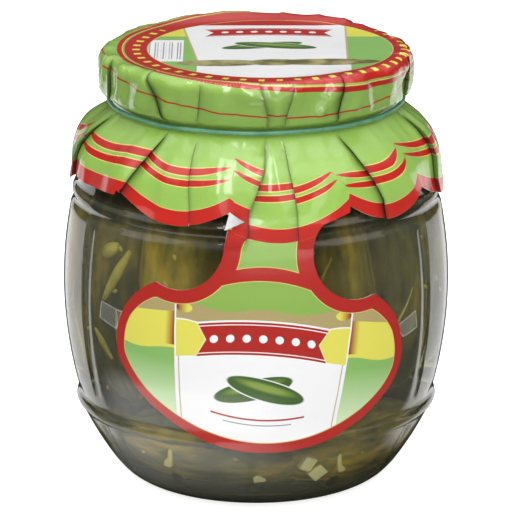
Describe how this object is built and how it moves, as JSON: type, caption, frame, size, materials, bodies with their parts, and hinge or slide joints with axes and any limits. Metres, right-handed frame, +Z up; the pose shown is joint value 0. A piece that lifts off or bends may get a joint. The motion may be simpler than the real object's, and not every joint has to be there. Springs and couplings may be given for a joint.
{
  "type": "pickle jar",
  "caption": "Barrel-shaped clear glass jar of pickled gherkins, shut, its closure wrapped in a pleated paper cover that runs down as a label, held by a rubber band.",
  "frame": {"origin": "on the jar's axis, at the plane its foot stands on", "axes": "+Z up along the jar's axis, -Y towards the label"},
  "size_m": [0.1202, 0.121, 0.1371],
  "materials": {
    "clear_glass": "clear, polished",
    "lid_metal": "lacquered, hidden under the paper",
    "printed_paper": "satin printed paper, green with red and pale yellow",
    "band_rubber": "matte",
    "clear_tape": "clear film",
    "pickled_gherkin": "wet, olive green"
  },
  "bodies": {
    "root": {"glass_jar": "clear_glass", "lid": "lid_metal", "paper_cover": "printed_paper", "rubber_band": "band_rubber", "tape_left": "clear_tape", "tape_right": "clear_tape", "pickles": "pickled_gherkin"}
  },
  "joints": []
}
